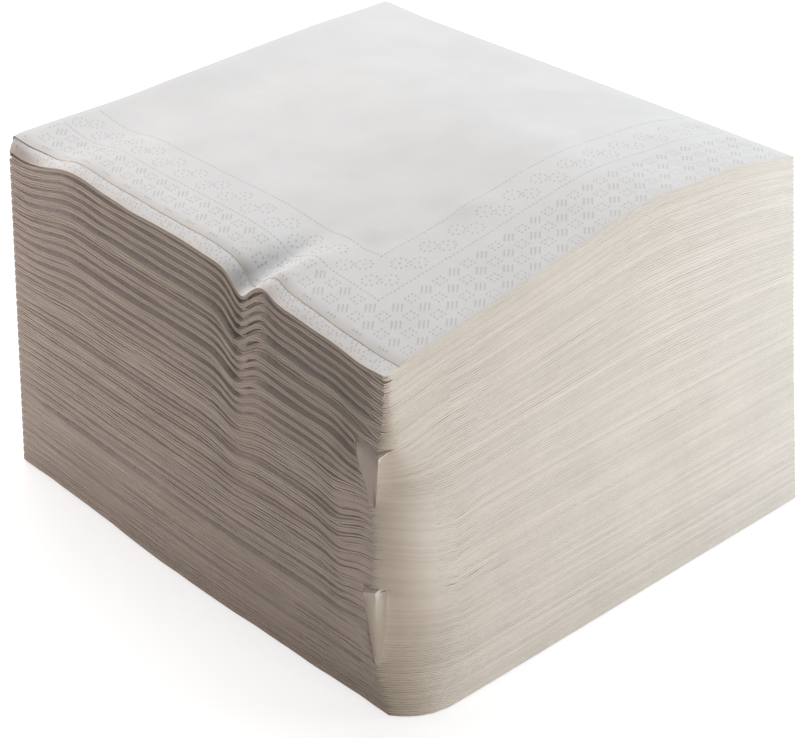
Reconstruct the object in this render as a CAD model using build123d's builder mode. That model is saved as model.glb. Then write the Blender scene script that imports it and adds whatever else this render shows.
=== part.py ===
"""A stack of paper napkins.

Each napkin is one sheet of tissue folded twice into a rectangle of four leaves. The first fold
lies along +Y and lays two leaves together as a hairpin. The second fold lies along -X and turns
that hairpin over on itself. The other two sides, -Y and +X, are the free edges of the leaves.
The lower napkins lie flat. The upper ones are lofted, more and more towards the top: they swell
along the free edges, where no fold holds the leaves down. The stack stands on XY, with the
middle of its footprint at the origin.
"""
import math
import os

from build123d import *

# Driving dimensions, in millimetres
napkin_count = 40
folded_width = 160.0  # X, from the second fold to the free edges
folded_depth = 144.0  # Y, from the free edges to the first fold
leaf_thickness = 0.5  # two embossed plies and the air they hold
pair_gap = 0.08  # air between the two leaves of the first fold
half_gap = 0.16  # air between the two halves of the second fold
rest_gap = 0.05  # air between one napkin and the next
set_back = 1.6  # the outer leaf stops this far short of the inner one
top_set_back = 4.5  # the same on the top napkin, which has been handled
lean_x = -6.5  # how far the top of the stack has slid over the bottom
lean_y = 2.0

# Loft, in millimetres
lofted_height = 57.0  # the upper part of the stack, above the napkins that lie flat
side_loft = 8.4  # rise of the top at the crest of its +X side
side_crest = 50.0  # from the first fold to that crest
side_shoulder = 20.0  # from the first fold to where the crest falls away steeply
side_reach = 56.0  # how far in from +X the crest keeps most of its rise
front_loft = 3.3  # rise of the top at the crest of its -Y side
front_crest = 28.0  # from the second fold to that crest
front_lip = 1.5  # how far in from the deepest set-back the free edges rise as one
corner_loft = 4.7  # rise of the top at the corner of +X and +Y

# Sizes that follow
first_fold_radius = leaf_thickness + pair_gap / 2
pair_thickness = 2 * leaf_thickness + pair_gap
napkin_thickness = 2 * pair_thickness + half_gap
second_fold_radius = napkin_thickness / 2
pitch = napkin_thickness + rest_gap
stack_height = pitch * napkin_count - rest_gap

free_x = folded_width / 2
free_y = -folded_depth / 2
first_bend_y = folded_depth / 2 - first_fold_radius
second_bend_x = -folded_width / 2 + second_fold_radius
facet_share = math.tan(math.radians(22.5))  # half a facet of a pressed fold, over its radius

# The creases of a lofted leaf, from its free edge to its fold, and how much of a loft each one gets
creases_x = (free_x, free_x - side_reach, front_crest - free_x)
side_share_x = (1.0, 0.95, 0.14, 0.0)
front_share_x = (0.0, 0.2, 1.0, 0.0)
corner_share_x = (1.0, 0.65, 0.18, 0.0)
lip_y = free_y + max(set_back, top_set_back) + front_lip
creases_y = (free_y, lip_y, -free_y - side_crest, -free_y - side_shoulder)
side_share_y = (0.2, 0.2, 1.0, 0.58, 0.05)
front_share_y = (1.0, 1.0, 0.0, 0.0, 0.0)
corner_share_y = (0.0, 0.0, 0.65, 0.86, 1.0)


def pressed_fold(bend, radius, side):
    """Return the corners of a fold pressed to three facets, from its lower leaf to its upper one."""
    half_facet = radius * facet_share
    return [
        (bend + side * half_facet, 0),
        (bend + side * radius, radius - half_facet),
        (bend + side * radius, radius + half_facet),
        (bend + side * half_facet, 2 * radius),
    ]


def flat_napkin():
    """Return one flat napkin: the hairpin of the first fold, carried round the second fold."""
    with BuildPart() as napkin:
        with BuildLine(Plane.XZ) as second_fold:
            Polyline(
                (free_x, 0),
                *pressed_fold(second_bend_x, second_fold_radius, -1),
                (free_x, napkin_thickness),
            )
        with BuildSketch(Plane.YZ.offset(free_x)) as first_fold:
            with BuildLine() as hairpin:
                Polyline(
                    (free_y + set_back, 0),
                    *pressed_fold(first_bend_y, first_fold_radius, 1),
                    (free_y, pair_thickness),
                    (free_y, pair_thickness - leaf_thickness),
                    (first_bend_y, pair_thickness - leaf_thickness),
                    (first_bend_y, leaf_thickness),
                    (free_y + set_back, leaf_thickness),
                    close=True,
                )
            make_face()
        sweep(path=second_fold.wire(), transition=Transition.RIGHT)
    return napkin.part


def loft_share(height):
    """Return how much of the top's loft a height in the stack has, from 0 to 1."""
    share = max(1 - (stack_height - height) / lofted_height, 0)
    return share * share * (3 - 2 * share)


def rise(crease_x, crease_y, height):
    """Return how far a point of a lofted napkin rises, where two of its creases cross."""
    side = side_loft * side_share_x[crease_x] * side_share_y[crease_y]
    front = front_loft * front_share_x[crease_x] * front_share_y[crease_y]
    corner = corner_loft * corner_share_x[crease_x] * corner_share_y[crease_y]
    return loft_share(height) * (side + front + corner)


def creased_hairpin(back):
    """Return the corners of the creased hairpin's section, each as Y, height and crease."""
    fold = len(creases_y)
    inner = list(enumerate(creases_y))
    outer = [(0, free_y + back)] + inner[1:]
    corners = [(y, 0, crease) for crease, y in outer]
    corners += [(y, z, fold) for y, z in pressed_fold(first_bend_y, first_fold_radius, 1)]
    corners += [(y, pair_thickness, crease) for crease, y in reversed(inner)]
    corners += [(y, pair_thickness - leaf_thickness, crease) for crease, y in inner]
    corners += [(first_bend_y, pair_thickness - leaf_thickness, fold)]
    corners += [(first_bend_y, leaf_thickness, fold)]
    corners += [(y, leaf_thickness, crease) for crease, y in reversed(outer)]
    return corners


def creased_path(level):
    """Return where a point of the hairpin goes round the second fold, as X, height and crease."""
    fold = len(creases_x)
    legs = list(enumerate(creases_x))
    corners = [(x, level, crease) for crease, x in legs]
    for x, z in pressed_fold(second_bend_x, second_fold_radius - level, -1):
        corners.append((x, level + z, fold))
    corners += [(x, napkin_thickness - level, crease) for crease, x in reversed(legs)]
    return corners


def lofted_napkin(base, back):
    """Return one napkin with its leaves lofted, as facets between their creases."""
    rows = []
    for y, level, crease_y in creased_hairpin(back):
        row = []
        for x, z, crease_x in creased_path(level):
            lifted = Vector(x, y, z + rise(crease_x, crease_y, base + z))
            row.append((lifted, crease_x + crease_y))
        rows.append(row)

    faces = [Face(Wire.make_polygon([row[end][0] for row in rows])) for end in (0, -1)]
    for row, following in zip(rows, rows[1:] + rows[:1]):
        for step in range(len(row) - 1):
            facet = [row[step], following[step], following[step + 1], row[step + 1]]
            steps = [crease for _, crease in facet]
            if abs(steps[0] - steps[2]) < abs(steps[1] - steps[3]):  # one diagonal through all leaves
                facet = facet[1:] + facet[:1]
            first, second, third, fourth = (corner for corner, _ in facet)
            faces.append(Face(Wire.make_polygon([first, second, third])))
            faces.append(Face(Wire.make_polygon([first, third, fourth])))
    solid = Solid(Shell(faces))
    return solid if solid.volume > 0 else -solid


# The stack, from the bottom up
lowest_napkin = flat_napkin()

os.makedirs("parts", exist_ok=True)
for index in range(napkin_count):
    base = pitch * index
    top_share = index / max(napkin_count - 1, 1)
    back = top_set_back if index == napkin_count - 1 else set_back
    flat = loft_share(base + napkin_thickness) == 0
    with BuildPart() as stacked:
        with Locations((lean_x * (top_share - 0.5), lean_y * (top_share - 0.5), base)):
            add(lowest_napkin if flat else lofted_napkin(base, back))
    name = f"napkin_{index + 1:02d}"
    stacked.part.label = name
    export_step(stacked.part, f"parts/{name}.step")
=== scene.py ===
"""Looks of a stack of folded paper napkins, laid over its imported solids.

Every napkin of the frame is replaced by the sheet it is folded from: two leaves laid together by
the first fold, turned over on themselves by the second. The stack has slumped a little in use, so
all sheets pass through one Slump. The border that is pressed into the tissue is laid out flat and
carried onto the folded sheet by a geometry node tree.

Lengths are in millimetres, and in metres for meshes, lights and the camera. A napkin's own axes
are u along X and v along Y, from its middle. The left side of the picture is the one at -Y, the
right side the one at +X, and the front corner lies between them. On the sheet laid flat, s runs
across the first fold and q across the second.
"""
import logging
import math
from dataclasses import dataclass, field, replace
from enum import Enum, IntEnum

import bmesh
import bpy
import numpy as np
from mathutils import Matrix, Vector


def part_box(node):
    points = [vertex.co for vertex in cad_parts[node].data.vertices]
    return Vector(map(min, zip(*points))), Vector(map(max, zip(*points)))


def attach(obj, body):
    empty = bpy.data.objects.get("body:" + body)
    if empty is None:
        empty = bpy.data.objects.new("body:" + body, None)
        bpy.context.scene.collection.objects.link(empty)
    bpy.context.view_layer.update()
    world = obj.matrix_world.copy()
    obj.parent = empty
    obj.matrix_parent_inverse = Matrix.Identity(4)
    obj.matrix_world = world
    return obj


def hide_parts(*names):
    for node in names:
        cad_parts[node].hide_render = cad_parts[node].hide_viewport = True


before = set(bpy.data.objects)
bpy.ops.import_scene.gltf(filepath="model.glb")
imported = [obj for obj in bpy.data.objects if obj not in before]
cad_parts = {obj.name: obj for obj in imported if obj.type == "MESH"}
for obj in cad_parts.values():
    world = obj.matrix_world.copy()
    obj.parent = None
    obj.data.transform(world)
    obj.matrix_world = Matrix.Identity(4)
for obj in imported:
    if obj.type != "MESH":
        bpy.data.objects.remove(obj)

Array = np.ndarray
MM = 0.001
WHITE = (1.0, 1.0, 1.0, 1.0)
LOG = logging.getLogger("napkins")


class Side(Enum):
    """The face of a sheet that a mark stands on."""

    OUTER = 1.0
    INNER = -1.0


class Chance(IntEnum):
    """First seed of each thing left to chance. A napkin's place in the stack is added to it."""

    SPECKS = 77
    SET_BACK = 500
    TONE = 800
    LEAF = 1000
    DROOP = 2000
    SLIDE = 3000
    SLACK = 4000
    RAGGED = 5000


@dataclass(frozen=True)
class TissueFinish:
    """Colours, grain and softness of white tissue paper; its rim colour is painted shade, and its pressed
    colour partly so.
    """

    sheet: tuple = (0.83, 0.82, 0.815, 1.0)
    # painted shade: the stack's sides warmer and darker at the leaves' cut edges, also laid over hanging
    # tongues
    rim: tuple = (0.82, 0.765, 0.70, 1.0)
    # the dents' floors: the pressed tissue's greyer tone together with painted shade in the dents
    pressed: tuple = (0.70, 0.685, 0.67, 1.0)
    roughness: float = 0.92
    specular: float = 0.2
    relief: float = 0.6
    grain_scale: float = 1400.0
    grain_depth: float = 0.00005
    crepe_scale: float = 260.0
    crepe_depth: float = 0.00012
    mottle_scale: float = 60.0
    mottle_shades: tuple = (0.97, 1.03)
    lint_scale: float = 420.0
    lint_shades: tuple = (0.95, 1.03)
    leaf_share: float = 0.5  # of the shades along the edges, the part that differs by leaf
    noise_range: tuple = (0.3, 0.7)


@dataclass(frozen=True)
class Wave:
    """A smooth random line: three sine waves with phases drawn from a seed."""

    seed: int
    lengths: tuple = (71.0, 33.0, 15.0)

    def at(self, along: Array) -> Array:
        """Height of the line.

        Args:
            along: distances along the line, in millimetres.

        Returns:
            Values between about -1 and 1.
        """
        rng = np.random.default_rng(self.seed)
        total = np.zeros_like(along, dtype=float)
        for order, length in enumerate(self.lengths):
            phase = rng.uniform(0.0, 2.0 * math.pi)
            total += np.sin(2.0 * math.pi * along / length + phase) / (order + 1.5)
        return total


def smooth_step(value: Array, low: float, high: float) -> Array:
    """Rise from 0 at low to 1 at high, with a soft start and end."""
    share = np.clip((value - low) / (high - low), 0.0, 1.0)
    return share * share * (3.0 - 2.0 * share)


def bell(value: Array, half_width: float) -> Array:
    """Fall from 1 at zero to nothing on both sides, softly."""
    return np.exp(-((value / half_width) ** 2))


def smooth_line(value: Array, knots: tuple, heights: tuple) -> Array:
    """Height of a soft line through the given knots, level outside them.

    Args:
        value: where to read the line.
        knots: places of the known heights, rising.
        heights: one height per knot.

    Returns:
        One height per value.
    """
    places = np.array(knots, dtype=float)
    known = np.array(heights, dtype=float)
    slopes = np.gradient(known, places)
    left = np.clip(np.searchsorted(places, value) - 1, 0, len(places) - 2)
    span = places[left + 1] - places[left]
    t = np.clip((value - places[left]) / span, 0.0, 1.0)
    near = (1.0 + 2.0 * t) * (1.0 - t) ** 2 * known[left] + t * (1.0 - t) ** 2 * span * slopes[left]
    far = t * t * (3.0 - 2.0 * t) * known[left + 1] + t * t * (t - 1.0) * span * slopes[left + 1]
    return near + far


def graded(length: float, fine: float, growth: float, coarse: float) -> Array:
    """Distances from 0 to length, close together at 0 and wider further in."""
    steps = [0.0]
    step = fine
    while steps[-1] < length:
        steps.append(steps[-1] + step)
        step = min(step * growth, coarse)
    return np.array(steps) * (length / steps[-1])


@dataclass(frozen=True)
class Ripple:
    """One rise or dip of the layers along the left side."""

    along: float
    half_width: float
    rise: float
    reach: float
    starts: float
    drift: float = 0.0


@dataclass(frozen=True)
class Billow:
    """One long soft ridge or hollow of the top, from one point to another."""

    start: tuple
    end: tuple
    half_width: float
    rise: float

    def at(self, u: Array, v: Array) -> Array:
        """Rise of the top at each point."""
        du = self.end[0] - self.start[0]
        dv = self.end[1] - self.start[1]
        span = du * du + dv * dv
        along = np.clip(((u - self.start[0]) * du + (v - self.start[1]) * dv) / span, 0.0, 1.0)
        gap = np.hypot(u - self.start[0] - along * du, v - self.start[1] - along * dv)
        return self.rise * bell(gap, self.half_width)


@dataclass(frozen=True)
class Flap:
    """One napkin's lip that hangs down as a tongue beside the front corner."""

    index: int
    centre: float
    near_width: float
    far_width: float
    tip: tuple
    blunt: float = 1.0
    depth: float = 3.0
    bend: float = 0.8
    clearance: float = 0.7
    fullness: float = 6.0
    outward: tuple = (0.0, -1.0, 0.0)
    on_right: bool = False

    def moves(self, inward: Array, along: Array) -> Array:
        """Moves of the leaf's points.

        Args:
            inward: how far each point lies in from the edge that hangs.
            along: how far it lies from the front corner along that edge.

        Returns:
            One row of X, Y and Z moves per point.
        """
        beyond = along - self.centre
        across = np.where(beyond > 0.0, beyond / self.far_width, -beyond / self.near_width)
        across = np.clip(1.0 - across, 0.0, 1.0) ** self.blunt
        full = np.clip(self.fullness * across, 0.0, 1.0)
        out = np.clip((self.depth - inward) / self.bend, 0.0, 1.0) * full
        drop = np.clip(1.0 - inward / (self.depth - self.bend), 0.0, 1.0) * across
        return np.outer(drop, self.tip) + np.outer((inward + self.clearance) * out, self.outward)


@dataclass
class Slump:
    """How the stack has slumped out of its square form.

    Values for its corners go round from -X -Y by the front corner at +X -Y. Heights of the front
    corner are shares of the stack's height.
    """

    width: float
    depth: float
    height: float
    top_moves: tuple = ((2.5, 4.9), (-1.2, -0.9), (-3.5, -1.0), (-0.7, -0.7))
    bottom_moves: tuple = ((-0.5, -0.7), (2.6, -1.4), (1.0, 0.4), (0.0, 0.0))
    foot_bow: float = 1.8
    corner_rises: tuple = (-0.1, 0.9, 4.7, 1.2)
    flat_share: float = 0.4
    right_knots: tuple = (-72, -67, -60, -52, -38, -21, -4, 6, 21, 36, 52, 64, 72)
    right_rises: tuple = (1.5, 2.0, 2.4, 2.8, 3.6, 4.8, 6.7, 7.8, 8.4, 6.8, 4.9, 2.3, 0.4)
    right_reach: float = 0.75  # share of the width over which the right side's rise builds up
    left_knots: tuple = (-80, -73, -64, -52, -35, -14, 0, 9, 20, 32, 43, 54, 75, 80)
    left_rises: tuple = (-1.2, -1.5, 0.2, 3.3, 2.8, 2.4, 2.2, 1.9, 0.9, 0.0, -0.5, -1.4, -3.0, -3.0)
    left_reach: float = 36.0
    ripples: tuple = (
        Ripple(24.5, 4.4, -4.9, 21.0, 0.15, 12.0),
        Ripple(34.0, 4.2, 0.6, 26.0, 0.40, 12.0),
    )
    ripple_spread: float = 1.2  # how much wider a ripple would be at the foot
    billows: tuple = (
        Billow((34.0, -70.0), (35.5, -46.0), 3.0, 1.0),
        Billow((36.0, -46.0), (42.0, -20.0), 4.5, -1.0),
        Billow((37.0, -36.0), (46.0, -11.0), 3.6, 0.7),
        Billow((11.0, -20.0), (13.0, -14.0), 9.0, -0.7),
        Billow((17.0, -46.0), (18.5, -40.0), 8.0, -0.7),
        Billow((22.0, 32.0), (25.0, 43.0), 9.0, -0.6),
        Billow((38.5, 24.0), (42.0, 58.0), 4.0, 0.7),
        Billow((-40.0, -30.0), (-38.0, 30.0), 16.0, 0.5),
        Billow((-62.0, -40.0), (-60.0, 10.0), 10.0, -0.4),
    )
    billow_depths: tuple = (26.0, 1.0)  # under the top, where billows start and where they are full
    corner_heights: tuple = (0.0, 0.1, 0.22, 0.35, 0.5, 0.6, 0.68, 0.8, 0.92, 1.0)
    curl_rises: tuple = (0.0, 0.2, 0.8, 2.2, 3.2, 2.2, -0.4, -1.6, -0.8, 0.0)
    curl_reach: float = 10.0
    hollow_share: float = 0.45
    hollow_gap: float = 19.0
    hollow_reach: float = 7.0
    drags: tuple = (0.0, 0.3, 0.6, 0.6, 0.5, 0.6, 0.7, 0.5, 0.2, 0.0)
    drag_reach: float = 14.0
    wrap_depths: tuple = (8.0, 10.5, 12.0, 9.5, 8.0, 8.3, 8.3, 3.4, 1.2, 0.6)
    wrap_length: float = 2.0
    wrap_power: float = 2.6
    wrap_reach: float = 36.0
    far_lift: float = 4.2
    stretch_limits: tuple = (0.7, 1.6)
    flaps: tuple = (
        Flap(31, 1.0, 1.0, 7.5, (1.5, -0.6, -14.5), 0.9),
        Flap(13, 0.9, 0.9, 1.5, (0.2, -0.4, -23.0), 0.35, outward=(0.6, -0.8, 0.0), on_right=True),
    )

    def offset(self, u: Array, v: Array, z: Array) -> Array:
        """Moves of points of one napkin.

        Args:
            u: distance from the napkin's middle along the stack's X.
            v: distance from the napkin's middle along the stack's Y.
            z: height over the table, in the stack as it was packed.

        Returns:
            One row of X, Y and Z moves per point.
        """
        moves = self._shear(u, v, z)
        moves[:, 2] += self._dome(u, v, z) + self._ripple(u, v, z) + self._billow(u, v, z)
        return moves + self._wrap(u, v, z) + self._curl(u, v, z)

    def stretch(self, u: Array, v: Array, z: Array) -> Array:
        """How much thicker the stack has become at each point, over its packed form."""
        half_span = 0.5
        above = self.offset(u, v, z + half_span)[:, 2]
        below = self.offset(u, v, z - half_span)[:, 2]
        return np.clip(1.0 + above - below, *self.stretch_limits)

    def hang(self, index: int, u: Array, v: Array) -> Array:
        """Moves of one napkin's leaf where it hangs as a tongue outside the layers below it."""
        moves = np.zeros((len(u), 3))
        in_v = v + self.depth / 2
        in_u = self.width / 2 - u
        for flap in self.flaps:
            if flap.index == index:
                moves += flap.moves(in_u, in_v) if flap.on_right else flap.moves(in_v, in_u)
        return moves

    def _shares(self, u: Array, v: Array) -> tuple:
        """Shares of the width and the depth at each point, and of the four corners."""
        a = u / self.width + 0.5
        b = v / self.depth + 0.5
        return a, b, ((1 - a) * (1 - b), a * (1 - b), a * b, (1 - a) * b)

    def _shear(self, u: Array, v: Array, z: Array) -> Array:
        """Shear and lean, spread between the eight corners of the stack, and the bow of its foot."""
        a, b, corners = self._shares(u, v)
        c = z / self.height
        moves = np.zeros((len(u), 3))
        for share, top, bottom in zip(corners, self.top_moves, self.bottom_moves):
            moves[:, :2] += np.outer(share * c, top) + np.outer(share * (1 - c), bottom)
        bow = np.sin(math.pi * np.clip(a, 0.0, 1.0)) ** 2
        moves[:, 1] -= self.foot_bow * bow * (1 - b) * (1 - c) ** 2
        return moves

    def _dome(self, u: Array, v: Array, z: Array) -> Array:
        """Loft of the upper napkins, most along the right side."""
        a, _, corners = self._shares(u, v)
        right = smooth_line(v, self.right_knots, self.right_rises)
        right *= smooth_step(a, 0.0, self.right_reach)
        left = smooth_line(u, self.left_knots, self.left_rises)
        left *= bell(v + self.depth / 2, self.left_reach)
        rise = sum(share * corner for share, corner in zip(corners, self.corner_rises))
        return (right + left + rise) * smooth_step(z / self.height, self.flat_share, 1.0)

    def _ripple(self, u: Array, v: Array, z: Array) -> Array:
        """Rises and dips of the free edges along the left side."""
        inward = v + self.depth / 2
        c = z / self.height
        total = np.zeros_like(u)
        for ripple in self.ripples:
            centre = ripple.along - ripple.drift * (1.0 - c)
            half_width = ripple.half_width * (1.0 + self.ripple_spread - self.ripple_spread * c)
            across = bell(u - centre, half_width)
            strength = smooth_step(c, ripple.starts, 1.0)
            total += ripple.rise * across * strength * bell(inward, ripple.reach)
        return total

    def _billow(self, u: Array, v: Array, z: Array) -> Array:
        """Soft ridges and hollows of the uppermost napkins."""
        start, full = self.billow_depths
        strength = smooth_step(z, self.height - start, self.height - full)
        total = np.zeros_like(u)
        for billow in self.billows:
            total += billow.at(u, v)
        return total * strength

    def _wrap(self, u: Array, v: Array, z: Array) -> Array:
        """Bend the right side back where it comes to the front corner."""
        depth = smooth_line(z / self.height, self.corner_heights, self.wrap_depths)
        near = np.clip(1.0 - (v + self.depth / 2) / (self.wrap_length * depth), 0.0, 1.0)
        inward = 1.0 - smooth_step(self.width / 2 - u, 0.0, self.wrap_reach)
        still = np.zeros_like(u)
        return np.column_stack((-depth * near**self.wrap_power * inward, still, still))

    def _curl(self, u: Array, v: Array, z: Array) -> Array:
        """Drag and curl of the layers round that corner, with a hollow outside the curl."""
        gap = np.hypot(self.width / 2 - u, v + self.depth / 2)
        c = z / self.height
        curl = smooth_line(c, self.corner_heights, self.curl_rises)
        drag = smooth_line(c, self.corner_heights, self.drags) * bell(gap, self.drag_reach)
        hollow = self.hollow_share * bell(gap - self.hollow_gap, self.hollow_reach)
        return np.column_stack((-drag, -drag, curl * (bell(gap, self.curl_reach) - hollow)))


@dataclass(frozen=True)
class LineSpacing:
    """How close the lines of a sheet's mesh lie, closest at its edges."""

    fine: float = 0.8
    growth_u: float = 1.28
    growth_v: float = 1.4
    coarse_u: float = 4.2
    coarse_v: float = 12.0
    dip_step: float = 2.0


@dataclass(frozen=True)
class Looseness:
    """How far the leaves of one napkin lie out of line with each other."""

    edge_grip: float = 9.0  # near the right side the leaves hold each other
    fold_grip: float = 16.0  # and so they do near the second fold
    droop_spread: float = 0.6
    droop_wave: float = 0.55
    droop_most: float = 1.1
    droop_power: float = 1.5
    slide_spread: float = 0.3
    slide_wave: float = 0.25
    stray_chance: float = 0.15
    stray: float = 0.8
    slack_reach: float = 12.0
    slack_spread: float = 0.3
    slack_wave: float = 0.2
    end_reach: float = 12.0
    spring_reach: float = 22.0  # from the second fold, where a leaf may spring up
    spring_falls: tuple = ((0.6, 0.0, 48.0), (0.25, 110.0, 144.0))
    spring_from: float = 0.4  # share of the second fold's turn
    spring_inner: float = 0.95  # share of the lift that the inner leaf gets
    spring_lip: tuple = (-0.5, 1.6)  # from the left side, where it gets that share
    ragged_reach: float = 10.0
    ragged_spread: float = 0.04
    ragged_wave: float = 0.03
    ragged_lengths: tuple = (47.0, 21.0, 9.0)


@dataclass
class FoldedSheet:
    """One napkin's sheet as a surface without thickness, folded twice.

    Lines of the section run from the outer leaf's free edge round the first fold to the inner
    leaf's free edge. Lines of the path run from the lower half's free edge round the second fold
    to the upper half's free edge.
    """

    width: float
    depth: float
    thickness: float
    set_back: float
    seed: int
    spacing: LineSpacing
    left_back: float = 0.2  # the set-back where the left side meets the second fold
    right_back: float = 0.2  # the set-back at the front corner
    lower_back: float = 0.2  # the same in the lower half
    leaf: float = 0.578
    pair_gap: float = 0.02
    rest: float = -0.025
    lip_share: float = 0.85
    inner_share: float = 0.85
    lip_reach: float = 2.0
    nose: float = 0.15
    dip: tuple = (28.0, 72.0)  # from the right side, the stretch with evenly spaced lines
    first_steps: int = 6
    second_steps: int = 8
    far_lift: float = 0.0
    droop: float = 0.35
    droop_from: float = 3.0
    loose: Looseness = Looseness()

    def __post_init__(self) -> None:
        self.low = self.rest + self.leaf / 2
        self.high = self.low + self.leaf + self.pair_gap
        self.turn = (self.high - self.low) / 2
        self.bend_v = self.depth / 2 - self.turn - self.leaf / 2
        self.bend_u = -self.width / 2 + self.thickness / 2
        self.outer_run = self.bend_v + self.depth / 2 - self.set_back
        self.inner_run = self.bend_v + self.depth / 2
        self.half_run = self.width / 2 - self.bend_u
        self.flat_s = self.outer_run + math.pi * self.turn + self.inner_run
        self.flat_q = 2 * self.half_run + math.pi * self.thickness / 4

    def section(self) -> Array:
        """Lines of the first fold.

        Returns:
            Rows of v, height in the half, flat distance and 1 for the inner leaf, else 0.
        """
        lines = (self.spacing.fine, self.spacing.growth_v, self.spacing.coarse_v)
        rows = []
        for run in graded(self.outer_run, *lines):
            rows.append((-self.depth / 2 + self.set_back + run, self.low, run, 0.0))
        middle = (self.low + self.high) / 2
        for angle in np.linspace(0.0, math.pi, self.first_steps + 1)[1:-1]:
            v = self.bend_v + self.turn * math.sin(angle)
            level = middle - self.turn * math.cos(angle)
            rows.append((v, level, self.outer_run + self.turn * angle, angle / math.pi))
        for run in graded(self.inner_run, *lines)[::-1]:
            rows.append((-self.depth / 2 + run, self.high, self.flat_s - run, 1.0))
        return np.array(rows)

    def path(self) -> Array:
        """Lines of the second fold.

        Returns:
            Rows of u, turn of the fold in radians and flat distance.
        """
        legs = graded(self.half_run, self.spacing.fine, self.spacing.growth_u, self.spacing.coarse_u)
        start, end = self.dip
        step = self.spacing.dip_step
        even = np.arange(start, end, step)
        legs = np.concatenate((legs[legs < start - step / 2], even, legs[legs > end]))
        rows = [(self.width / 2 - run, 0.0, run) for run in legs]
        for angle in np.linspace(0.0, math.pi, self.second_steps + 1)[1:-1]:
            rows.append((self.bend_u, angle, self.half_run + self.thickness / 4 * angle))
        rows += [(self.width / 2 - run, math.pi, self.flat_q - run) for run in legs[::-1]]
        return np.array(rows)

    def grid(self) -> tuple:
        """Points of the folded sheet.

        Returns:
            The arrays u, v, height over the napkin's underside, flat s and flat q, by path line
            and section line.
        """
        section = self.section()
        path = self.path()
        v, level, flat_s, inner = (np.tile(column, (len(path), 1)) for column in section.T)
        line, turn, flat_q = (np.tile(column[:, None], (1, len(section))) for column in path.T)
        radius = self.thickness / 2 - level
        u = line - radius * np.abs(np.sin(turn)) ** self.nose
        side = np.sign(np.cos(turn))
        height = self.thickness / 2 - radius * side * np.abs(np.cos(turn)) ** self.nose
        press = (1.0 - self.thin(flat_s)) * self.leaf / 2 * np.where(inner < 0.5, 1.0, 0.0)
        height = height + press * np.where(turn >= math.pi / 2, -1.0, 1.0)
        u, v, height = self._loosen(u, v, height, inner, turn)
        return u, v, height, flat_s, flat_q

    def thin(self, flat_s: Array) -> Array:
        """Share of the leaf's thickness that is left, less towards the edges on the left side."""
        outer = smooth_step(flat_s, 0.0, self.lip_reach)
        inner = smooth_step(self.flat_s - flat_s, 0.0, self.lip_reach)
        outer = self.lip_share + (1.0 - self.lip_share) * outer
        inner = self.inner_share + (1.0 - self.inner_share) * inner
        return np.minimum(outer, inner)

    def _loosen(self, u: Array, v: Array, height: Array, inner: Array, turn: Array) -> tuple:
        """Small differences from one leaf to the next.

        Args:
            u: places along the stack's X.
            v: places along the stack's Y.
            height: heights over the napkin's underside.
            inner: 1 for the inner leaf, 0 for the outer one.
            turn: turn of the second fold, in radians.

        Returns:
            The arrays u, v and height, with drooping lips and edges out of line.
        """
        loose = self.loose
        rng = np.random.default_rng(Chance.LEAF + self.seed)
        upper = turn / math.pi
        in_v = v + self.depth / 2
        in_u = self.width / 2 - u
        from_fold = u + self.width / 2
        off_fold = smooth_step(from_fold, 0.0, loose.fold_grip)
        free = smooth_step(in_u, 0.0, loose.edge_grip) * off_fold
        reach = self.set_back + self.droop_from
        lip = np.clip((reach - in_v) / reach, 0.0, 1.0) * inner
        drop, slide = self._lip(rng, u, lip, free)
        outer = np.clip(1.0 - (in_v - self.set_back) / loose.slack_reach, 0.0, 1.0) * (1.0 - inner)
        slack = self._slack(rng, u, upper)
        v = v - slide - slack * outer * free
        v = v - (self.set_back - self.left_back) * (1.0 - off_fold) * outer
        right_back = np.where(upper > 0.5, self.right_back, self.lower_back)
        v = v - (self.set_back - right_back) * (1.0 - smooth_step(in_u, 0.0, loose.end_reach)) * outer
        height = height - drop + self._spring(in_v, from_fold, inner, upper)
        edge = np.clip(1.0 - in_u / loose.ragged_reach, 0.0, 1.0)
        for half, share in enumerate((1.0 - upper, upper)):
            wave = Wave(Chance.RAGGED + 2 * self.seed + half, loose.ragged_lengths)
            ragged = loose.ragged_wave * wave.at(v)
            shift = rng.uniform(-loose.ragged_spread, loose.ragged_spread)
            u = u + (shift + ragged) * edge * share
        return u, v, height

    def _lip(self, rng: np.random.Generator, u: Array, lip: Array, free: Array) -> tuple:
        """How far the lip of the inner leaves droops, and how far it slides out."""
        loose = self.loose
        uneven = loose.droop_spread * rng.uniform(-1, 1)
        wave = loose.droop_wave * Wave(Chance.DROOP + self.seed).at(u)
        droop = np.clip(self.droop * (1.0 + uneven + wave), 0.0, loose.droop_most)
        slide = rng.normal(0.0, loose.slide_spread)
        slide = slide + loose.slide_wave * Wave(Chance.SLIDE + self.seed).at(u)
        if rng.uniform() < loose.stray_chance:
            slide = slide + loose.stray
        return droop * lip**loose.droop_power * free, slide * lip * free

    def _slack(self, rng: np.random.Generator, u: Array, upper: Array) -> Array:
        """How far the edges of the two outer leaves lie out of line."""
        loose = self.loose
        in_upper = rng.uniform(-loose.slack_spread, loose.slack_spread)
        in_lower = rng.uniform(-loose.slack_spread, loose.slack_spread)
        wave = loose.slack_wave * Wave(Chance.SLACK + self.seed).at(u)
        return np.where(upper > 0.5, in_upper, in_lower) + wave

    def _spring(self, in_v: Array, from_fold: Array, inner: Array, upper: Array) -> Array:
        """How far the upper half springs up by the second fold, most at the left side."""
        loose = self.loose
        spring = 1.0
        for fall, start, end in loose.spring_falls:
            spring = spring - fall * smooth_step(in_v, start, end)
        near = 1.0 - smooth_step(from_fold, 0.0, loose.spring_reach)
        lift = spring * near * smooth_step(upper, loose.spring_from, 1.0)
        held = loose.spring_inner * inner * smooth_step(in_v, *loose.spring_lip)
        return self.far_lift * lift * (1.0 - inner + held)


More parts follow.
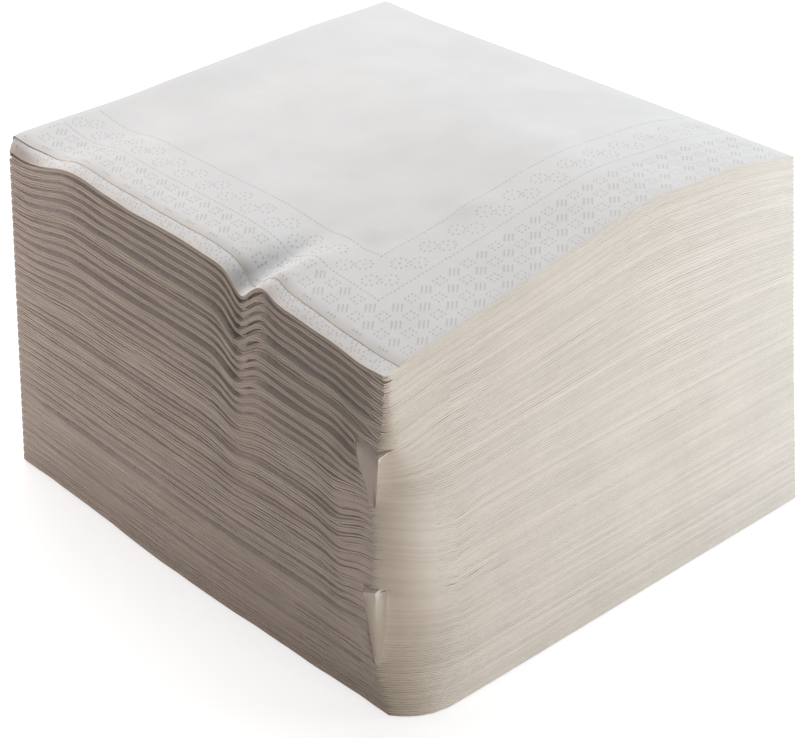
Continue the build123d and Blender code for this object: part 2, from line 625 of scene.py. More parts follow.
@dataclass
class Mark:
    """A small dent or bead that is pressed into the tissue, drawn flat."""

    name: str
    outline: tuple
    base: float = -0.06
    rim: float = 0.05
    floor: float = 0.012
    rim_share: float = 0.86
    floor_share: float = 0.66
    # share of the darker dent colour on the floor: the pressed tissue's tone and painted shade
    tone: float = 1.0

    def build(self) -> bpy.types.Object:
        """Make the mark as a closed mesh about the origin.

        Returns:
            An object that is kept out of the scene's own collection.
        """
        bm = bmesh.new()
        # the dent floor's darker colour: the pressed tissue's own tone with painted shade in the dent
        pressed = bm.verts.layers.float.new("pressed")
        rings = []
        for share, height, tone in (
            (1.0, self.base, 0.0),
            (self.rim_share, self.rim, 0.0),
            (self.floor_share, self.floor, self.tone),
        ):
            ring = []
            for x, y in self.outline:
                vert = bm.verts.new((x * share * MM, y * share * MM, height * MM))
                vert[pressed] = tone
                ring.append(vert)
            rings.append(ring)
        count = len(self.outline)
        for low, high in zip(rings, rings[1:]):
            for step in range(count):
                following = (step + 1) % count
                bm.faces.new((low[step], low[following], high[following], high[step]))
        bm.faces.new(rings[-1])
        bm.faces.new(rings[0][::-1])
        mesh = bpy.data.meshes.new(self.name)
        bm.to_mesh(mesh)
        bm.free()
        return bpy.data.objects.new(self.name, mesh)


def round_outline(radius: float, corners: int) -> tuple:
    """Corners of a regular outline, counter-clockwise."""
    turns = [2.0 * math.pi * k / corners for k in range(corners)]
    return tuple((radius * math.cos(t), radius * math.sin(t)) for t in turns)


def bar_outline(length: float, width: float, heading: float) -> tuple:
    """Corners of a bar with blunt ends, counter-clockwise, turned by heading in radians."""
    half = length / 2
    blunt = width / 2
    plain = (
        (half - 0.5 * blunt, -blunt),
        (half, 0.0),
        (half - 0.5 * blunt, blunt),
        (-half + 0.5 * blunt, blunt),
        (-half, 0.0),
        (-half + 0.5 * blunt, -blunt),
    )
    cos_h = math.cos(heading)
    sin_h = math.sin(heading)
    return tuple((x * cos_h - y * sin_h, x * sin_h + y * cos_h) for x, y in plain)


@dataclass
class EmbossedBorder:
    """The pressed border of a napkin: a chequer of bars and dots, two fine lines and a row of rings.

    Distances named left and right are from those free edges of the folded stack.
    """

    left_line: float = 17.3
    right_line: float = 22.3
    left_row: float = 22.8
    right_row: float = 28.1
    left_second: float = 29.8
    right_second: float = 35.6
    left_cell: float = 4.6
    right_cell: float = 4.7
    left_phase: float = 0.3
    right_phase: float = 2.8
    cell_reach: float = 2.0
    bar_step: float = 1.05
    bar_length: float = 4.0
    bar_width: float = 0.62
    bar_heading: float = -45.0
    dot_radius: float = 0.36
    dot_corners: int = 6
    dot_reach: float = 1.7
    ring_radius: float = 2.1
    ring_pitch: float = 9.6
    ring_dots: int = 9
    lobe_reach: float = 2.4
    dash_step: float = 1.3
    dash_length: float = 0.9
    dash_width: float = 0.36
    margin: float = 0.7
    bar_margin: float = 1.7
    whole: float = 2.5
    speck_starts: tuple = (0.9, 1.2)
    speck_steps: tuple = (1.0, 1.4)
    speck_shift: float = 0.7
    speck_scatter: tuple = (0.2, 0.3)
    speck_share: float = 0.6

    def marks(self) -> dict:
        """Make the flat marks that the border repeats.

        Returns:
            Objects by name.
        """
        heading = math.radians(self.bar_heading)
        marks = (
            Mark("bar", bar_outline(self.bar_length, self.bar_width, heading)),
            Mark("dot", round_outline(self.dot_radius, self.dot_corners)),
            Mark("dash_s", bar_outline(self.dash_length, self.dash_width, 0.0)),
            Mark("dash_q", bar_outline(self.dash_length, self.dash_width, math.pi / 2)),
        )
        return {mark.name: mark.build() for mark in marks}

    def specks(self, left_end: float, right_end: float) -> list:
        """Places of the loose dots on the strip that shows beside the left edge."""
        rng = np.random.default_rng(Chance.SPECKS.value)
        left_scatter, right_scatter = self.speck_scatter
        spots = []
        for row, left in enumerate(np.arange(self.speck_starts[0], left_end, self.speck_steps[0])):
            start = self.speck_starts[1] + self.speck_shift * (row % 2)
            for right in np.arange(start, right_end, self.speck_steps[1]):
                if rng.uniform() < self.speck_share:
                    across = left + rng.uniform(-left_scatter, left_scatter)
                    spots.append((across, right + rng.uniform(-right_scatter, right_scatter)))
        return spots

    def layout(self, left_start: float, left_end: float, right_end: float) -> dict:
        """Places of all marks of one leaf.

        Args:
            left_start: how far the leaf's own edge lies in from the left side.
            left_end: how far in the leaf goes on.
            right_end: how far the leaf goes from the right side.

        Returns:
            Lists of (left, right) places by mark name.
        """
        places = {"bar": [], "dot": [], "dash_s": [], "dash_q": []}
        for left, right, bars in self._cells(left_end, right_end):
            beyond_left = left + self.cell_reach - self.left_line
            beyond_right = right + self.cell_reach - self.right_line
            if min(beyond_left, beyond_right) > 0.0:
                continue
            if bars and min(left - left_start, right) < self.whole:
                continue
            self._cell(places, left, right, bars)
        self._lines(places, left_end, right_end)
        self._rings(places, left_end, right_end)
        return self._trim(places, left_start, left_end, right_end)

    def _cells(self, left_end: float, right_end: float):
        """Middles of the chequer's cells and whether each one holds bars."""
        for column in range(int(right_end / self.right_cell) + 1):
            for row in range(int(left_end / self.left_cell) + 1):
                right = self.right_phase + column * self.right_cell
                left = self.left_phase + row * self.left_cell
                yield left, right, (column + row) % 2 == 1

    def _cell(self, places: dict, left: float, right: float, bars: bool) -> None:
        """One cell of the chequer: three bars, or a diamond of eight dots."""
        across = math.sqrt(0.5)
        if bars:
            for step in (-1, 0, 1):
                shift = step * self.bar_step * across
                places["bar"].append((left + shift, right - shift))
            return
        tips = ((1, 0), (-1, 0), (0, 1), (0, -1))
        flanks = ((0.5, 0.5), (-0.5, -0.5), (0.5, -0.5), (-0.5, 0.5))
        for along, aside in tips + flanks:
            spot_left = left + self.dot_reach * (along + aside) * across
            spot_right = right + self.dot_reach * (along - aside) * across
            places["dot"].append((spot_left, spot_right))

    def _lines(self, places: dict, left_end: float, right_end: float) -> None:
        """The two fine broken lines, each along both sides."""
        for left_line, right_line in (
            (self.left_line, self.right_line),
            (self.left_second, self.right_second),
        ):
            for right in np.arange(right_line, right_end, self.dash_step):
                places["dash_q"].append((left_line, right))
            for left in np.arange(left_line, left_end, self.dash_step):
                places["dash_s"].append((left, right_line))

    def _rings(self, places: dict, left_end: float, right_end: float) -> None:
        """The row of double rings between the two lines."""
        along_left = np.arange(self.right_row, right_end, self.ring_pitch)
        along_right = np.arange(self.left_row + self.ring_pitch, left_end, self.ring_pitch)
        middles = [(self.left_row, right) for right in along_left]
        middles += [(left, self.right_row) for left in along_right]
        turns = np.arange(self.ring_dots) * (2.0 * math.pi / self.ring_dots)
        for left, right in middles:
            for lobe in (-self.lobe_reach, self.lobe_reach):
                lobe_left = left + lobe * math.sqrt(0.5)
                lobe_right = right - lobe * math.sqrt(0.5)
                places["dot"].append((lobe_left, lobe_right))
                for turn in turns:
                    ring_left = lobe_left + self.ring_radius * math.cos(turn)
                    ring_right = lobe_right + self.ring_radius * math.sin(turn)
                    places["dot"].append((ring_left, ring_right))

    def _trim(self, places: dict, left_start: float, left_end: float, right_end: float) -> dict:
        """Leave out marks that would hang over the leaf's edges."""
        kept = {}
        for name, spots in places.items():
            reach = self.bar_margin if name == "bar" else self.margin
            kept[name] = [
                (left, right)
                for left, right in spots
                if left_start + reach < left < left_end - reach and reach < right < right_end - reach
            ]
        return kept


class NodeTree:
    """Shorthand for building a node tree."""

    def __init__(self, tree: bpy.types.NodeTree) -> None:
        self.tree = tree

    def add(self, kind: str, given: dict | None = None, **settings) -> bpy.types.Node:
        """Add a node.

        Args:
            kind: the node's type.
            given: what its inputs get, by name or number: a value or another node's output.
            settings: its own properties, which are set before its inputs.

        Returns:
            The node.
        """
        node = self.tree.nodes.new(kind)
        for name, value in settings.items():
            setattr(node, name, value)
        for key, value in (given or {}).items():
            if isinstance(value, bpy.types.NodeSocket):
                self.tree.links.new(value, node.inputs[key])
            else:
                node.inputs[key].default_value = value
        return node

    def socket(self, name: str, kind: str, into: bool = True) -> None:
        """Add a named input or output to the tree's interface."""
        in_out = "INPUT" if into else "OUTPUT"
        self.tree.interface.new_socket(name=name, in_out=in_out, socket_type=f"NodeSocket{kind}")

    def combine(self, operation: str, *values) -> bpy.types.NodeSocket:
        """Add a sum, a product or both, of numbers and other nodes' outputs, and return its output."""
        given = dict(enumerate(values))
        return self.add("ShaderNodeMath", given, operation=operation).outputs["Value"]

    def noise(self, vector: bpy.types.NodeSocket, scale: float, detail: float) -> bpy.types.NodeSocket:
        """Add a soft noise and return its output."""
        given = {"Vector": vector, "Scale": scale, "Detail": detail}
        return self.add("ShaderNodeTexNoise", given, noise_dimensions="3D").outputs["Fac"]

    def remap(
        self, value: bpy.types.NodeSocket, source: tuple, target: tuple, **settings
    ) -> bpy.types.NodeSocket:
        """Carry a value from one range to another and return the output."""
        given = {"Value": value, "From Min": source[0], "From Max": source[1]}
        given.update({"To Min": target[0], "To Max": target[1]})
        return self.add("ShaderNodeMapRange", given, **settings).outputs["Result"]

    def show(self, unseen: bpy.types.NodeSocket, seen: bpy.types.NodeSocket, output: str) -> None:
        """Give the camera one shader and the light in the room another."""
        camera = self.add("ShaderNodeLightPath").outputs["Is Camera Ray"]
        mix = self.add("ShaderNodeMixShader", {"Fac": camera, 1: unseen, 2: seen})
        self.add(output, {"Surface": mix.outputs["Shader"]})


def pressed_marks_tree() -> bpy.types.NodeTree:
    """Node tree that repeats one flat mark and lays it on a folded sheet.

    The mark's X and Y are read as flat distances on the sheet and its Z as height over the tissue.

    Returns:
        A geometry node tree with the inputs Centres, Mark, Sheet, Side and Material.
    """
    build = NodeTree(bpy.data.node_groups.new("pressed_marks", "GeometryNodeTree"))
    objects = ("Centres", "Mark", "Sheet")
    build.socket("Geometry", "Geometry")
    for name in objects:
        build.socket(name, "Object")
    build.socket("Side", "Float")
    build.socket("Material", "Material")
    build.socket("Geometry", "Geometry", into=False)
    given = build.add("NodeGroupInput").outputs
    centres, mark, sheet = (
        build.add("GeometryNodeObjectInfo", {"Object": given[name]}).outputs["Geometry"]
        for name in objects
    )
    position = build.add("GeometryNodeInputPosition").outputs["Position"]
    normal = build.add("GeometryNodeInputNormal").outputs["Normal"]
    flat, half = (
        build.add("GeometryNodeInputNamedAttribute", {"Name": name}, data_type=kind).outputs["Attribute"]
        for name, kind in (("flat", "FLOAT_VECTOR"), ("half", "FLOAT"))
    )
    where = {"Mesh": sheet, "UV Map": flat, "Sample UV": position}
    place, outward, depth = (
        build.add("GeometryNodeSampleUVSurface", {"Value": value, **where}, data_type=kind).outputs["Value"]
        for value, kind in ((position, "FLOAT_VECTOR"), (normal, "FLOAT_VECTOR"), (half, "FLOAT"))
    )
    axes = build.add("ShaderNodeSeparateXYZ", {"Vector": position})
    height = build.combine("ADD", axes.outputs["Z"], depth)
    signed = build.combine("MULTIPLY", height, given["Side"])
    lift = build.add("ShaderNodeVectorMath", {"Vector": outward, "Scale": signed}, operation="SCALE")
    repeat = build.add("GeometryNodeInstanceOnPoints", {"Points": centres, "Instance": mark})
    flat_marks = build.add("GeometryNodeRealizeInstances", {"Geometry": repeat.outputs["Instances"]})
    laid = build.add(
        "GeometryNodeSetPosition",
        {
            "Geometry": flat_marks.outputs["Geometry"],
            "Position": place,
            "Offset": lift.outputs["Vector"],
        },
    )
    painted = build.add(
        "GeometryNodeSetMaterial",
        {"Geometry": laid.outputs["Geometry"], "Material": given["Material"]},
    )
    join = build.add("GeometryNodeJoinGeometry", {"Geometry": given["Geometry"]})
    build.tree.links.new(painted.outputs["Geometry"], join.inputs["Geometry"])
    build.add("NodeGroupOutput", {"Geometry": join.outputs["Geometry"]})
    return build.tree


def set_inputs(modifier: bpy.types.NodesModifier, **values) -> None:
    """Set a modifier's inputs by the names that its tree gives them.

    Args:
        modifier: the geometry nodes modifier.
        values: values by input name.
    """
    for item in modifier.node_group.interface.items_tree:
        if item.item_type == "SOCKET" and item.in_out == "INPUT" and item.name in values:
            modifier[item.identifier] = values[item.name]


def fibre_group(finish: TissueFinish) -> bpy.types.NodeTree:
    """Shader group that turns surface coordinates into the tissue's grain and crepe.

    Args:
        finish: the tissue's finish.

    Returns:
        A shader node group with a Vector input and the outputs Mottle and Height.
    """
    build = NodeTree(bpy.data.node_groups.new("tissue_fibre", "ShaderNodeTree"))
    build.socket("Vector", "Vector")
    build.socket("Mottle", "Float", into=False)
    build.socket("Height", "Float", into=False)
    vector = build.add("NodeGroupInput").outputs["Vector"]
    grain = build.noise(vector, finish.grain_scale, detail=3.0)
    crepe = build.noise(vector, finish.crepe_scale, detail=2.0)
    mottle = build.noise(vector, finish.mottle_scale, detail=4.0)
    fine = build.combine("MULTIPLY", grain, finish.grain_depth)
    height = build.combine("MULTIPLY_ADD", crepe, finish.crepe_depth, fine)
    build.add("NodeGroupOutput", {"Mottle": mottle, "Height": height})
    return build.tree


def tissue_material(finish: TissueFinish) -> bpy.types.Material:
    """White tissue, warmer and darker at its cut edges and on hanging tongues as painted shade, and darker
    where it is pressed, partly as painted shade.

    Args:
        finish: the tissue's finish.

    Returns:
        The material.
    """
    material = bpy.data.materials.new("tissue")
    material.use_nodes = True
    build = NodeTree(material.node_tree)
    shader = material.node_tree.nodes["Principled BSDF"]
    shader.inputs["Roughness"].default_value = finish.roughness
    shader.inputs["Specular IOR Level"].default_value = finish.specular
    place = build.add("ShaderNodeTexCoord").outputs["Object"]
    fibre = build.add("ShaderNodeGroup", node_tree=fibre_group(finish))
    build.tree.links.new(place, fibre.inputs["Vector"])
    edge, pressed, leaf = (
        build.add("ShaderNodeAttribute", attribute_name=name).outputs["Fac"]
        for name in ("edge", "pressed", "tone")
    )
    # painted shade: the rim colour laid on the cut edges and on hanging tongues
    cut = build.add(
        "ShaderNodeMix", {"Factor": edge, "A": finish.sheet, "B": finish.rim}, data_type="RGBA"
    )
    # dent floors darker: the pressed tissue's tone together with painted shade in the dents
    dent = build.add(
        "ShaderNodeMix",
        {"Factor": pressed, "A": cut.outputs["Result"], "B": finish.pressed},
        data_type="RGBA",
    )
    fuzz = build.noise(place, finish.lint_scale, detail=3.0)
    fuzz = build.combine("MULTIPLY", fuzz, 1.0 - finish.leaf_share)
    uneven = build.combine("MULTIPLY_ADD", leaf, finish.leaf_share, fuzz)
    lint = build.remap(uneven, finish.noise_range, finish.lint_shades)
    frayed = build.add("ShaderNodeMix", {"Factor": edge, "A": 1.0, "B": lint}, data_type="FLOAT")
    shade = build.remap(fibre.outputs["Mottle"], finish.noise_range, finish.mottle_shades)
    tone = build.combine("MULTIPLY", shade, frayed.outputs["Result"])
    colour = build.add(
        "ShaderNodeVectorMath", {"Vector": dent.outputs["Result"], "Scale": tone}, operation="SCALE"
    )
    build.tree.links.new(colour.outputs["Vector"], shader.inputs["Base Color"])
    bump = build.add(
        "ShaderNodeBump",
        {"Strength": finish.relief, "Distance": 1.0, "Height": fibre.outputs["Height"]},
    )
    build.tree.links.new(bump.outputs["Normal"], shader.inputs["Normal"])
    return material


def store(mesh: bpy.types.Mesh, name: str, values: Array) -> None:
    """Store a number or a vector with each point of a mesh."""
    kind, key = ("FLOAT", "value") if values.ndim == 1 else ("FLOAT_VECTOR", "vector")
    mesh.attributes.new(name, kind, "POINT").data.foreach_set(key, values.ravel())


@dataclass
class PlacedSheet:
    """Points of one napkin's surface in the stack, by path line and section line."""

    points: Array
    flat_s: Array
    flat_q: Array
    half: Array  # half the tissue's thickness
    # painted shade: a hanging tongue's share, where it takes the darker rim colour
    tongue_shade: Array  # 1 where a leaf hangs as a tongue
    shape: tuple


@dataclass
class NapkinStack:
    """All napkins of the stack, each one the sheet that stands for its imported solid."""

    count: int
    finish: TissueFinish = TissueFinish()
    border: EmbossedBorder = field(default_factory=EmbossedBorder)
    top_back: float = 4.5
    top_left_back: float = 1.5
    top_lip_share: float = 0.2
    top_droop_from: float = -0.4
    foot_back: float = 0.3  # set-back of the outer leaves at the foot of the stack
    back_gain: float = 1.3  # how much more it is at the top
    foot_scatter: float = 0.15
    scatter_gain: float = 0.45
    foot_droop: float = 0.1
    droop_gain: float = 0.25
    flat_margin: float = 0.05
    near_top: int = 2  # napkins under the top one that need closer lines
    # how far in from a cut edge the painted edge shade fades out, in millimetres
    edge_shade_fade: float = 0.7
    sharp_angle: float = 48.0
    border_margin: float = 2.0
    speck_margin: float = 1.0
    bead_radius: float = 0.42
    bead_corners: int = 5
    bead_step: float = 2.4
    bead_rows: tuple = (1.0, 2.9)
    bead_start: float = 1.2
    bead_gap: float = 16.0  # without beads, from the right side
    bead_end: float = 4.0

    def __post_init__(self) -> None:
        self.top = self.count - 1
        low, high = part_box("napkin_01")
        self.width = (high.x - low.x) / MM
        self.depth = (high.y - low.y) / MM
        self.thickness = (high.z - low.z) / MM
        self.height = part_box(self.name(self.top))[0].z / MM + self.thickness
        self.slump = Slump(self.width, self.depth, self.height)
        rise = self.middle(self.top) - self.middle(0)
        self.lean = rise / max(rise.z, self.thickness)
        self.material = tissue_material(self.finish)
        self.tree = pressed_marks_tree()
        self.marks = self.border.marks()
        outline = round_outline(self.bead_radius, self.bead_corners)
        bead = Mark("bead", outline, rim=0.1, floor=0.13, rim_share=0.8, floor_share=0.4, tone=0.0)
        self.bead = bead.build()

    def name(self, index: int) -> str:
        """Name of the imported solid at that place, counted from the bottom."""
        return f"napkin_{index + 1:02d}"

    def middle(self, index: int) -> Vector:
        """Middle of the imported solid's footprint at its underside, in millimetres."""
        low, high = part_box(self.name(index))
        return Vector(((low.x + high.x) / 2, (low.y + high.y) / 2, low.z)) / MM

    def build(self) -> list:
        """Returns:
            The pieces, from the bottom up.
        """
        pieces = []
        for index in range(self.count):
            piece = self.napkin(index)
            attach(piece, "root")
            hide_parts(self.name(index))
            flat = (2 * self.width * MM, (2 * self.depth - self.sheet_of(index).set_back) * MM)
            pieces.append(piece)
            LOG.info("%s: %d polygons", piece.name, len(piece.data.polygons))
        return pieces

    def lies_flat(self, index: int) -> bool:
        """Whether a napkin lies in the lower, flat part of the stack."""
        return index / self.top < self.slump.flat_share - self.flat_margin

    def spacing(self, index: int) -> LineSpacing:
        """Spacing of one napkin's lines, closest on top and at tongues, widest where it lies flat."""
        if index == self.top:
            return LineSpacing(growth_v=1.3, coarse_u=2.6, coarse_v=3.0, dip_step=1.2)
        lines = LineSpacing()
        if self.lies_flat(index):
            lines = replace(lines, coarse_u=6.0, coarse_v=16.0, dip_step=4.0)
        if any(flap.index == index for flap in self.slump.flaps):
            lines = replace(lines, fine=0.3, growth_u=1.1, growth_v=1.3)
        if index >= self.top - self.near_top:
            lines = replace(lines, coarse_v=7.0)
        return lines

    def sheet_of(self, index: int) -> FoldedSheet:
        """Folded sheet of one napkin. The top one has been handled, the others differ a little."""
        size = (self.width, self.depth, self.thickness)
        if index == self.top:
            return FoldedSheet(
                *size,
                self.top_back,
                index,
                self.spacing(index),
                left_back=self.top_left_back,
                right_back=self.top_back,
                lip_share=self.top_lip_share,
                far_lift=self.slump.far_lift,
                droop_from=self.top_droop_from,
            )
        share = index / self.top
        rng = np.random.default_rng(Chance.SET_BACK + index)
        scatter = self.foot_scatter + self.scatter_gain * share**2
        back = self.foot_back + self.back_gain * share**3 + scatter * rng.uniform(-1.0, 1.0)
        droop = self.foot_droop + self.droop_gain * share**3
        return FoldedSheet(*size, back, index, self.spacing(index), droop=droop)

    def placed(self, index: int, sheet: FoldedSheet) -> PlacedSheet:
        """Lay one napkin's sheet in its place in the slumped stack.

        Args:
            index: the napkin's place, counted from the bottom.
            sheet: its folded sheet.

        Returns:
            The points of its surface.
        """
        grid = sheet.grid()
        u, v, height, flat_s, flat_q = (values.ravel() for values in grid)
        middle = self.middle(index)
        z = height + middle.z
        above = height - self.thickness / 2
        x = middle.x + self.lean.x * above + u
        y = middle.y + self.lean.y * above + v
        points = np.column_stack((x, y, z)) + self.slump.offset(u, v, z)
        upper_inner = (flat_s > sheet.flat_s / 2) & (flat_q > sheet.flat_q / 2)
        moves = self.slump.hang(index, u, v) * upper_inner[:, None]
        # painted shade: how far a leaf hangs as a tongue; that part later takes the rim colour
        tongue_shade = np.clip(-moves[:, 2], 0.0, 1.0)
        half = sheet.leaf / 2 * sheet.thin(flat_s) * self.slump.stretch(u, v, z)
        return PlacedSheet(points + moves, flat_s, flat_q, half, tongue_shade, grid[0].shape)

    def surface(self, index: int, sheet: FoldedSheet) -> bpy.types.Object:
        """Napkin's surface without thickness, with what its material and marks read from it."""
        laid = self.placed(index, sheet)
        rows, columns = laid.shape
        start = (np.arange(rows - 1)[:, None] * columns + np.arange(columns - 1)[None, :]).ravel()
        faces = np.column_stack((start, start + columns, start + columns + 1, start + 1))
        mesh = bpy.data.meshes.new(f"sheet_{index + 1:02d}")
        mesh.from_pydata((laid.points * MM).tolist(), [], faces.tolist())
        mesh.polygons.foreach_set("use_smooth", np.ones(len(faces), dtype=bool))
        s, q = laid.flat_s, laid.flat_q
        store(mesh, "flat", np.column_stack((s * MM, q * MM, np.zeros_like(s))))
        store(mesh, "half", laid.half * MM)
        inside = np.minimum.reduce((s, sheet.flat_s - s, q, sheet.flat_q - q))
        # painted shade: the rim colour at the cut edges, and all over a hanging tongue
        store(mesh, "edge", np.maximum(np.exp(-inside / self.edge_shade_fade), laid.tongue_shade))
        leaf = 2 * (s > sheet.flat_s / 2) + (q > sheet.flat_q / 2)
        tones = np.random.default_rng(Chance.TONE + index).uniform(0.0, 1.0, 4)
        store(mesh, "tone", tones[leaf.astype(int)])
        mesh.materials.append(self.material)
        return bpy.data.objects.new(mesh.name, mesh)

    def napkin(self, index: int) -> bpy.types.Object:
        """Make one napkin: the folded sheet with its thickness and the marks pressed into it."""
        sheet = self.sheet_of(index)
        surface = self.surface(index, sheet)
        piece = bpy.data.objects.new(f"folded_{self.name(index)}", surface.data.copy())
        bpy.context.scene.collection.objects.link(piece)
        half = np.array([item.value for item in piece.data.attributes["half"].data])
        group = piece.vertex_groups.new(name="body")
        solidify = piece.modifiers.new("thickness", "SOLIDIFY")
        solidify.thickness = 2.0 * half.max()
        solidify.offset = 0.0
        solidify.vertex_group = group.name
        shares = np.round(half / half.max(), 2)
        for share in np.unique(shares):
            group.add(np.flatnonzero(shares == share).tolist(), float(share), "REPLACE")
        if index == self.top:
            self.press(piece, surface, sheet)
        else:
            self.bead_lip(piece, surface, sheet)
        depsgraph = bpy.context.evaluated_depsgraph_get()
        mesh = bpy.data.meshes.new_from_object(piece.evaluated_get(depsgraph), depsgraph=depsgraph)
        piece.modifiers.clear()
        piece.data = mesh
        mesh.name = piece.name
        self.trim_mesh(mesh)
        return piece

    def trim_mesh(self, mesh: bpy.types.Mesh) -> None:
        """Turn all faces outward and keep the cut edges crisp."""
        bm = bmesh.new()
        bm.from_mesh(mesh)
        bmesh.ops.recalc_face_normals(bm, faces=bm.faces)
        bm.to_mesh(mesh)
        bm.free()
        mesh.set_sharp_from_angle(angle=math.radians(self.sharp_angle))

    def repeat(
        self,
        piece: bpy.types.Object,
        surface: bpy.types.Object,
        mark: bpy.types.Object,
        centres: list,
        side: Side,
    ) -> None:
        """Add one modifier that lays a mark on the napkin at all of its places.

        Args:
            piece: the napkin.
            surface: its surface without thickness.
            mark: the flat mark.
            centres: flat places of the mark.
            side: the face of the sheet it stands on.
        """
        if not centres:
            return
        mesh = bpy.data.meshes.new(f"centres_{mark.name}")
        mesh.from_pydata([(s * MM, q * MM, 0.0) for s, q in centres], [], [])
        spots = bpy.data.objects.new(mesh.name, mesh)
        modifier = piece.modifiers.new(mark.name, "NODES")
        modifier.node_group = self.tree
        set_inputs(
            modifier,
            Centres=spots,
            Mark=mark,
            Sheet=surface,
            Side=side.value,
            Material=self.material,
        )

    def press(self, piece: bpy.types.Object, surface: bpy.types.Object, sheet: FoldedSheet) -> None:
        """Press the border into the top leaf and the strip of the leaf under it."""
        right_end = self.width - self.border_margin
        top = self.border.layout(sheet.set_back, self.depth - self.border_margin, right_end)
        for name, spots in top.items():
            centres = [(left - sheet.set_back, sheet.flat_q - right) for left, right in spots]
            self.repeat(piece, surface, self.marks[name], centres, Side.OUTER)
        specks = self.border.specks(sheet.set_back + self.speck_margin, right_end)
        centres = [(sheet.flat_s - left, sheet.flat_q - right) for left, right in specks]
        self.repeat(piece, surface, self.marks["dot"], centres, Side.INNER)

    def bead_lip(self, piece: bpy.types.Object, surface: bpy.types.Object, sheet: FoldedSheet) -> None:
        """Raise two rows of small beads along the lip that shows at the left side."""
        centres = []
        for row, left in enumerate(self.bead_rows):
            start = self.bead_start + row * self.bead_step / 2
            for right in np.arange(start + self.bead_gap, self.width - self.bead_end, self.bead_step):
                centres.append((sheet.flat_s - left, sheet.flat_q - right))
        self.repeat(piece, surface, self.bead, centres, Side.INNER)


@dataclass(frozen=True)
class AreaLight:
    """One square area light, in metres and watts."""

    name: str
    place: tuple
    target: tuple
    size: float
    power: float
    tint: tuple

    def build(self) -> None:
        """Hang the light in its place and point it at its target."""
        data = bpy.data.lights.new(self.name, "AREA")
        data.shape = "SQUARE"
        data.size = self.size
        data.energy = self.power
        data.color = self.tint
        light = bpy.data.objects.new(self.name, data)
        aim = Vector(self.target) - Vector(self.place)
        light.rotation_euler = aim.to_track_quat("-Z", "Y").to_euler()
        light.location = self.place
        bpy.context.scene.collection.objects.link(light)


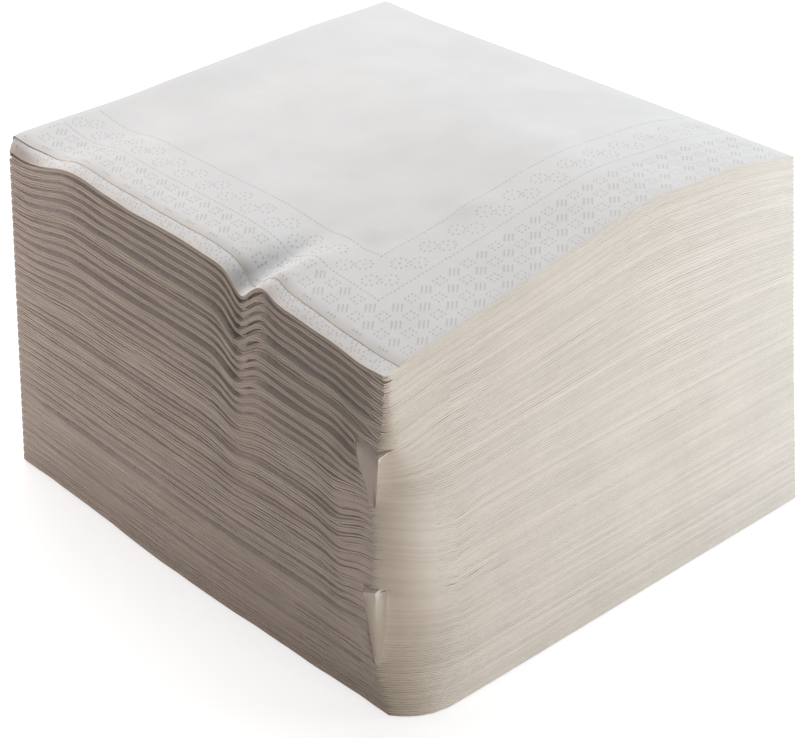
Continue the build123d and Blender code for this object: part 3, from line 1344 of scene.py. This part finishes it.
@dataclass
class Studio:
    """Camera, light and floor of a white table by a window, in metres and degrees.

    A large window stands high at the back, a doorway and a lamp low on the right, and a glow comes
    from the left.
    """

    azimuth: float = 47.96
    elevation: float = 30.72
    roll: float = -0.53
    distance: float = 0.65
    aim: float = 0.03385
    focal_pixels: float = 2375.0
    principal: tuple = (397.5, 368.0)
    picture: tuple = (800, 738)
    sensor: float = 36.0
    nearest: float = 0.01
    lights: tuple = (
        AreaLight("window", (-0.32, 0.323, 0.91), (0.02, 0.0, 0.06), 0.7, 9.35, (0.985, 0.995, 1.0)),
        AreaLight("doorway", (0.36, 0.30, 0.12), (0.08, 0.0, 0.05), 0.2, 1.02, (0.74, 0.88, 1.0)),
        AreaLight("lamp", (0.60, -0.05, 0.14), (0.08, 0.0, 0.05), 0.25, 1.19, (1.0, 0.88, 0.76)),
        AreaLight("glow", (-0.40, -0.34, 0.16), (-0.06, -0.07, 0.06), 0.25, 0.9, (1.0, 0.84, 0.8)),
    )
    room_tint: tuple = (1.0, 0.91, 0.84, 1.0)
    room_strength: float = 0.01
    table_reach: float = 3.0
    table_drop: float = 0.0004
    table_bounce: tuple = (0.52, 0.49, 0.46, 1.0)
    table_tone: tuple = (0.57, 0.57, 0.57, 1.0)
    table_glow: tuple = (0.74, 1.0)  # near the stack, where its shadow falls, and far from it
    glow_reach: tuple = (0.3, 0.9)

    def build(self) -> None:
        """Set the whole studio up."""
        self.camera()
        for light in self.lights:
            light.build()
        self.world()
        self.floor()
        bpy.context.scene.view_settings.view_transform = "Standard"

    def camera(self) -> None:
        """Camera at the place that the picture was taken from."""
        azimuth = math.radians(self.azimuth)
        elevation = math.radians(self.elevation)
        level = math.cos(elevation)
        away = Vector((math.sin(azimuth) * level, -math.cos(azimuth) * level, math.sin(elevation)))
        right = Vector((math.cos(azimuth), math.sin(azimuth), 0.0))
        up = away.cross(right)
        cos_r = math.cos(math.radians(self.roll))
        sin_r = math.sin(math.radians(self.roll))
        right_rolled = right * cos_r + up * sin_r
        up_rolled = up * cos_r - right * sin_r
        data = bpy.data.cameras.new("camera")
        data.sensor_fit = "HORIZONTAL"
        data.sensor_width = self.sensor
        data.lens = self.focal_pixels / self.picture[0] * self.sensor
        data.shift_x = (self.picture[0] / 2 - self.principal[0]) / self.picture[0]
        data.shift_y = (self.principal[1] - self.picture[1] / 2) / self.picture[0]
        data.clip_start = self.nearest
        camera = bpy.data.objects.new("camera", data)
        turn = Matrix((right_rolled, up_rolled, away)).transposed().to_4x4()
        place = Vector((0.0, 0.0, self.aim)) + away * self.distance
        camera.matrix_world = Matrix.Translation(place) @ turn
        bpy.context.scene.collection.objects.link(camera)
        bpy.context.scene.camera = camera

    def world(self) -> None:
        """Dim warm room light, with a white backdrop for the camera."""
        world = bpy.data.worlds.new("room")
        world.use_nodes = True
        bpy.context.scene.world = world
        world.node_tree.nodes.clear()
        build = NodeTree(world.node_tree)
        room, backdrop = (
            build.add("ShaderNodeBackground", {"Color": tint, "Strength": strength}).outputs["Background"]
            for tint, strength in ((self.room_tint, self.room_strength), (WHITE, 1.0))
        )
        build.show(room, backdrop, "ShaderNodeOutputWorld")

    def floor(self) -> None:
        """White table that keeps a faint shadow."""
        bm = bmesh.new()
        bmesh.ops.create_grid(bm, x_segments=1, y_segments=1, size=self.table_reach)
        mesh = bpy.data.meshes.new("table")
        bm.to_mesh(mesh)
        bm.free()
        floor = bpy.data.objects.new("table", mesh)
        floor.location.z = -self.table_drop
        bpy.context.scene.collection.objects.link(floor)
        mesh.materials.append(self.table_material())

    def table_material(self) -> bpy.types.Material:
        """White to the camera all over, apart from the shadow, and a dull matt white to the room.

        Returns:
            The material.
        """
        material = bpy.data.materials.new("table")
        material.use_nodes = True
        material.node_tree.nodes.clear()
        build = NodeTree(material.node_tree)
        matt, shown = (
            build.add("ShaderNodeBsdfDiffuse", {"Color": tone}).outputs["BSDF"]
            for tone in (self.table_bounce, self.table_tone)
        )
        place = build.add("ShaderNodeTexCoord").outputs["Object"]
        away = build.add("ShaderNodeVectorMath", {0: place}, operation="LENGTH").outputs["Value"]
        glow = build.remap(away, self.glow_reach, self.table_glow, interpolation_type="SMOOTHSTEP")
        bright = build.add("ShaderNodeEmission", {"Color": WHITE, "Strength": glow})
        seen = build.add("ShaderNodeAddShader", {0: shown, 1: bright.outputs["Emission"]})
        build.show(matt, seen.outputs["Shader"], "ShaderNodeOutputMaterial")
        return material


def write_sizes() -> None:
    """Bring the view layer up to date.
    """
    bpy.context.view_layer.update()


def main() -> None:
    """Build the stack and the studio round it."""
    logging.basicConfig(level=logging.INFO)
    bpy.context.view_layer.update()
    NapkinStack(len(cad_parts)).build()
    Studio().build()
    write_sizes()


if __name__ == "__main__":
    main()
